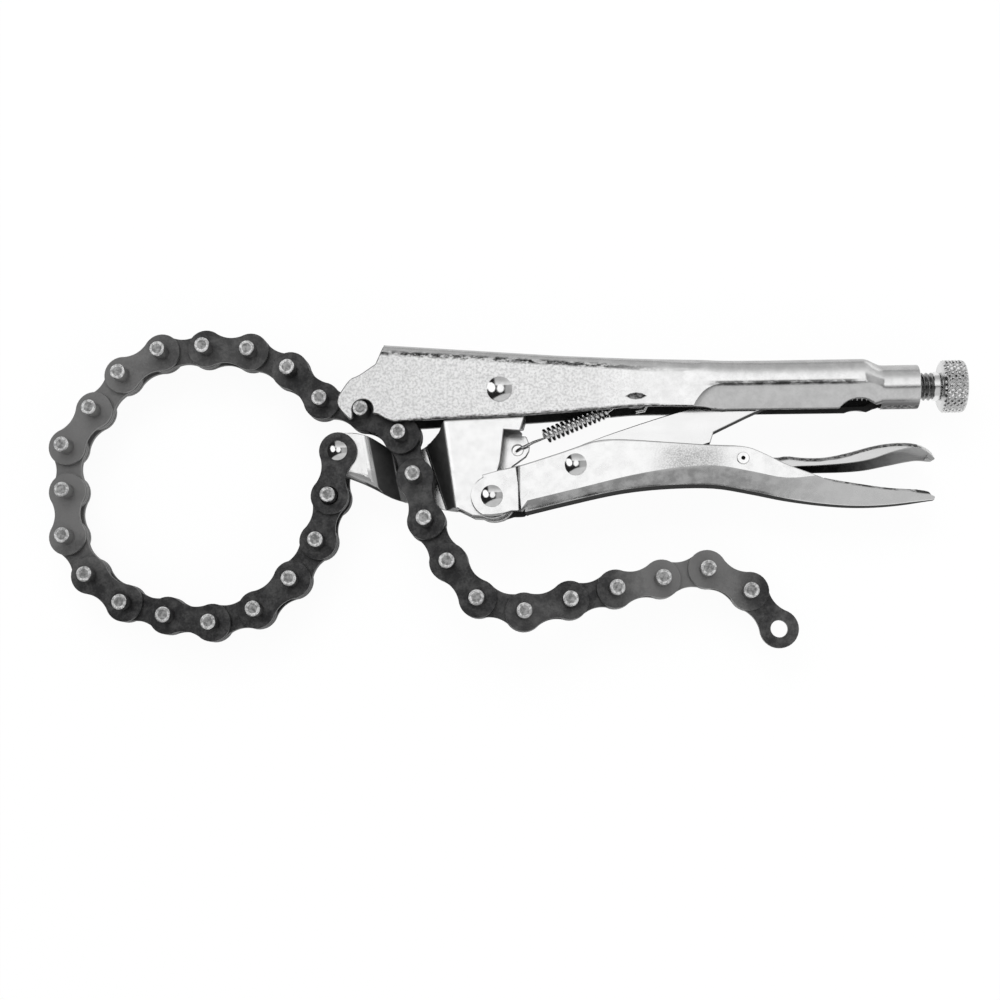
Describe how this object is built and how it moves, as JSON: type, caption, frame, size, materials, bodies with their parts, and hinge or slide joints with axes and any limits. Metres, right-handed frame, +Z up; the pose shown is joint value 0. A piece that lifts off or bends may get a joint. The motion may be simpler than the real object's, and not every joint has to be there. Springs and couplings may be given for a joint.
{
  "type": "locking chain clamp",
  "caption": "Toggle-locking hand clamp with a link chain that loops from the jaw nose to a notch in the upper handle, an adjusting screw and a release lever.",
  "frame": {"origin": "axis of the main rivet, on the plane that the clamp lies on", "axes": "+X along the handles towards the knob, +Y from the lower handle to the upper handle, +Z up out of the table"},
  "size_m": [0.3166, 0.1117, 0.026],
  "materials": {
    "nickel_plated_steel": "satin nickel plate",
    "blackened_steel": "black oxide, lightly oiled",
    "bright_steel": "bright"
  },
  "bodies": {
    "upper_handle": {"upper_handle": "nickel_plated_steel", "main_rivet": "bright_steel", "return_spring": "bright_steel"},
    "jaw": {"jaw": "nickel_plated_steel", "handle_rivet": "bright_steel"},
    "lower_handle": {"lower_handle": "nickel_plated_steel", "toggle_rivet": "bright_steel", "lever_pin": "bright_steel"},
    "toggle_link": {"toggle_link": "nickel_plated_steel"},
    "release_lever": {"release_lever": "nickel_plated_steel"},
    "screw": {"adjusting_screw": "nickel_plated_steel", "adjusting_knob": "nickel_plated_steel"},
    "link_01": {"link_01_near": "blackened_steel", "link_01_far": "blackened_steel", "anchor_rivet": "bright_steel"},
    "link_02": {"link_02": "blackened_steel"},
    "link_03": {"link_03": "blackened_steel"},
    "link_04": {"link_04": "blackened_steel"},
    "link_05": {"link_05": "blackened_steel"},
    "link_06": {"link_06": "blackened_steel"},
    "link_07": {"link_07": "blackened_steel"},
    "link_08": {"link_08": "blackened_steel"},
    "link_09": {"link_09": "blackened_steel"},
    "link_10": {"link_10": "blackened_steel"},
    "link_11": {"link_11": "blackened_steel"},
    "link_12": {"link_12": "blackened_steel"},
    "link_13": {"link_13": "blackened_steel"},
    "link_14": {"link_14": "blackened_steel"},
    "link_15": {"link_15": "blackened_steel"},
    "link_16": {"link_16": "blackened_steel"},
    "link_17": {"link_17": "blackened_steel"},
    "link_18": {"link_18": "blackened_steel"},
    "link_19": {"link_19": "blackened_steel"},
    "link_20": {"link_20": "blackened_steel"},
    "link_21": {"link_21": "blackened_steel"},
    "link_22": {"link_22": "blackened_steel"},
    "link_23": {"link_23": "blackened_steel"},
    "link_24": {"link_24": "blackened_steel"},
    "link_25": {"link_25": "blackened_steel"},
    "link_26": {"link_26": "blackened_steel"},
    "link_27": {"link_27": "blackened_steel"},
    "link_28": {"link_28": "blackened_steel"},
    "link_29": {"link_29": "blackened_steel"},
    "link_30": {"link_30": "blackened_steel"},
    "link_31": {"link_31": "blackened_steel"}
  },
  "joints": [
    {"name": "handle_open", "type": "hinge", "parent": "jaw", "child": "lower_handle", "pos_m": [-0.0026, -0.0368, 0.0103], "axis": [0, 0, -1], "range_deg": [0, 30]},
    {"name": "jaw_swing", "type": "hinge", "parent": "upper_handle", "child": "jaw", "pos_m": [0, 0, 0.0103], "axis": [0, 0, 1], "range_deg": [0, 4.2], "deforming": ["return_spring"]},
    {"name": "link_swing", "type": "hinge", "parent": "lower_handle", "child": "toggle_link", "pos_m": [0.0258, -0.0262, 0.0103], "axis": [0, 0, 1], "range_deg": [0, 37.8]},
    {"name": "release_press", "type": "hinge", "parent": "lower_handle", "child": "release_lever", "pos_m": [0.082, -0.0247, 0.0103], "axis": [0, 0, -1], "range_deg": [0, 4]},
    {"name": "screw_turn", "type": "hinge", "parent": "upper_handle", "child": "screw", "pos_m": [0.12, 0.0005, 0.0103], "axis": [1, 0, 0], "continuous": true},
    {"name": "pin_01_turn", "type": "hinge", "parent": "jaw", "child": "link_01", "pos_m": [-0.0562, -0.02, 0.0103], "axis": [0, 0, 1], "range_deg": [-0.15, 0.15]},
    {"name": "pin_02_turn", "type": "hinge", "parent": "link_01", "child": "link_02", "pos_m": [-0.05886, -0.03565, 0.0103], "axis": [0, 0, 1], "range_deg": [-0.32, 0.32]},
    {"name": "pin_03_turn", "type": "hinge", "parent": "link_02", "child": "link_03", "pos_m": [-0.06288, -0.05101, 0.0103], "axis": [0, 0, 1], "range_deg": [-0.34, 0.34]},
    {"name": "pin_04_turn", "type": "hinge", "parent": "link_03", "child": "link_04", "pos_m": [-0.0717, -0.06421, 0.0103], "axis": [0, 0, 1], "range_deg": [-0.33, 0.33]},
    {"name": "pin_05_turn", "type": "hinge", "parent": "link_04", "child": "link_05", "pos_m": [-0.08382, -0.07446, 0.0103], "axis": [0, 0, -1], "range_deg": [-0.15, 0.15]},
    {"name": "pin_06_turn", "type": "hinge", "parent": "link_05", "child": "link_06", "pos_m": [-0.09908, -0.07885, 0.0103], "axis": [0, 0, 1], "range_deg": [-0.33, 0.33]},
    {"name": "pin_07_turn", "type": "hinge", "parent": "link_06", "child": "link_07", "pos_m": [-0.11476, -0.07634, 0.0103], "axis": [0, 0, 1], "range_deg": [-0.39, 0.39]},
    {"name": "pin_08_turn", "type": "hinge", "parent": "link_07", "child": "link_08", "pos_m": [-0.13001, -0.07193, 0.0103], "axis": [0, 0, 1], "range_deg": [-0.45, 0.45]},
    {"name": "pin_09_turn", "type": "hinge", "parent": "link_08", "child": "link_09", "pos_m": [-0.14264, -0.06232, 0.0103], "axis": [0, 0, 1], "range_deg": [-0.51, 0.51]},
    {"name": "pin_10_turn", "type": "hinge", "parent": "link_09", "child": "link_10", "pos_m": [-0.15098, -0.04881, 0.0103], "axis": [0, 0, 1], "range_deg": [-0.15, 0.15]},
    {"name": "pin_11_turn", "type": "hinge", "parent": "link_10", "child": "link_11", "pos_m": [-0.15171, -0.03295, 0.0103], "axis": [0, 0, 1], "range_deg": [-0.59, 0.59]},
    {"name": "pin_12_turn", "type": "hinge", "parent": "link_11", "child": "link_12", "pos_m": [-0.15245, -0.01709, 0.0103], "axis": [0, 0, 1], "range_deg": [-0.63, 0.63]},
    {"name": "pin_13_turn", "type": "hinge", "parent": "link_12", "child": "link_13", "pos_m": [-0.14328, -0.00413, 0.0103], "axis": [0, 0, 1], "range_deg": [-0.62, 0.62]},
    {"name": "pin_14_turn", "type": "hinge", "parent": "link_13", "child": "link_14", "pos_m": [-0.13345, 0.00833, 0.0103], "axis": [0, 0, 1], "range_deg": [-0.61, 0.61]},
    {"name": "pin_15_turn", "type": "hinge", "parent": "link_14", "child": "link_15", "pos_m": [-0.11968, 0.01624, 0.0103], "axis": [0, 0, -1], "range_deg": [-0.15, 0.15]},
    {"name": "pin_16_turn", "type": "hinge", "parent": "link_15", "child": "link_16", "pos_m": [-0.10385, 0.01735, 0.0103], "axis": [0, 0, 1], "range_deg": [-0.53, 0.53]},
    {"name": "pin_17_turn", "type": "hinge", "parent": "link_16", "child": "link_17", "pos_m": [-0.08803, 0.01598, 0.0103], "axis": [0, 0, 1], "range_deg": [-0.48, 0.48]},
    {"name": "pin_18_turn", "type": "hinge", "parent": "link_17", "child": "link_18", "pos_m": [-0.07374, 0.00907, 0.0103], "axis": [-0.0053, 0.005, 1], "range_deg": [-0.42, 0.42]},
    {"name": "pin_19_turn", "type": "hinge", "parent": "link_18", "child": "link_19", "pos_m": [-0.06227, -0.0019, 0.01042], "axis": [-0.0053, 0.005, 1], "range_deg": [-0.36, 0.36]},
    {"name": "pin_20_turn", "type": "hinge", "parent": "upper_handle", "child": "link_20", "pos_m": [-0.0471, -0.0065, 0.0113], "axis": [-0.0805, 0.0523, 0.9954], "range_deg": [-1.5, 1]},
    {"name": "pin_21_turn", "type": "hinge", "parent": "link_20", "child": "link_21", "pos_m": [-0.03385, -0.01511, 0.01282], "axis": [-0.0805, 0.0523, 0.9954], "range_deg": [-2, 1.5]},
    {"name": "pin_22_turn", "type": "hinge", "parent": "link_21", "child": "link_22", "pos_m": [-0.02897, -0.03011, 0.01458], "axis": [-0.0249, 0.0927, 0.9954], "range_deg": [-3, 1.5]},
    {"name": "pin_23_turn", "type": "hinge", "parent": "link_22", "child": "link_23", "pos_m": [-0.02488, -0.04537, 0.0161], "axis": [-0.0249, 0.0927, 0.9954], "range_deg": [-6, 1.5]},
    {"name": "pin_24_turn", "type": "hinge", "parent": "link_23", "child": "link_24", "pos_m": [-0.0172, -0.05924, 0.01698], "axis": [-0.0007, 0.0008, 1], "range_deg": [-24.5, 0]},
    {"name": "pin_25_turn", "type": "hinge", "parent": "link_24", "child": "link_25", "pos_m": [-0.00721, -0.07157, 0.017], "axis": [-0.0007, 0.0008, 1], "range_deg": [-15, 1.5]},
    {"name": "pin_26_turn", "type": "hinge", "parent": "link_25", "child": "link_26", "pos_m": [0.008, -0.07608, 0.01624], "axis": [0.0817, 0.0211, 0.9964], "range_deg": [-15, 1.5]},
    {"name": "pin_27_turn", "type": "hinge", "parent": "link_26", "child": "link_27", "pos_m": [0.02331, -0.07212, 0.01491], "axis": [0.0817, 0.0211, 0.9964], "range_deg": [-15, 2]},
    {"name": "pin_28_turn", "type": "hinge", "parent": "link_27", "child": "link_28", "pos_m": [0.03864, -0.0683, 0.01329], "axis": [0.0936, 0.0207, 0.9954], "range_deg": [-15, 2.5]},
    {"name": "pin_29_turn", "type": "hinge", "parent": "link_28", "child": "link_29", "pos_m": [0.05406, -0.06488, 0.01177], "axis": [0.0936, 0.0207, 0.9954], "range_deg": [-15, 3]},
    {"name": "pin_30_turn", "type": "hinge", "parent": "link_29", "child": "link_30", "pos_m": [0.06955, -0.06158, 0.01069], "axis": [0.0217, -0.0115, 0.9997], "range_deg": [-15, 4]},
    {"name": "pin_31_turn", "type": "hinge", "parent": "link_30", "child": "link_31", "pos_m": [0.08357, -0.06903, 0.0103], "axis": [0.0217, -0.0115, 0.9997], "range_deg": [-20, 6]}
  ],
  "couplings": [
    {"joint": "jaw_swing", "follows": "handle_open", "ratio": 0.132},
    {"joint": "link_swing", "follows": "handle_open", "ratio": 1.244},
    {"joint": "pin_02_turn", "follows": "handle_open", "ratio": -0.0006},
    {"joint": "pin_03_turn", "follows": "handle_open", "ratio": -0.0012},
    {"joint": "pin_04_turn", "follows": "handle_open", "ratio": -0.001},
    {"joint": "pin_06_turn", "follows": "handle_open", "ratio": 0.001},
    {"joint": "pin_07_turn", "follows": "handle_open", "ratio": 0.0029},
    {"joint": "pin_08_turn", "follows": "handle_open", "ratio": 0.0049},
    {"joint": "pin_09_turn", "follows": "handle_open", "ratio": 0.0069},
    {"joint": "pin_11_turn", "follows": "handle_open", "ratio": 0.0098},
    {"joint": "pin_12_turn", "follows": "handle_open", "ratio": 0.011},
    {"joint": "pin_13_turn", "follows": "handle_open", "ratio": 0.0108},
    {"joint": "pin_14_turn", "follows": "handle_open", "ratio": 0.0105},
    {"joint": "pin_16_turn", "follows": "handle_open", "ratio": 0.0078},
    {"joint": "pin_17_turn", "follows": "handle_open", "ratio": 0.006},
    {"joint": "pin_18_turn", "follows": "handle_open", "ratio": 0.004},
    {"joint": "pin_19_turn", "follows": "handle_open", "ratio": 0.002},
    {"joint": "pin_24_turn", "follows": "handle_open", "ratio": -0.8}
  ]
}
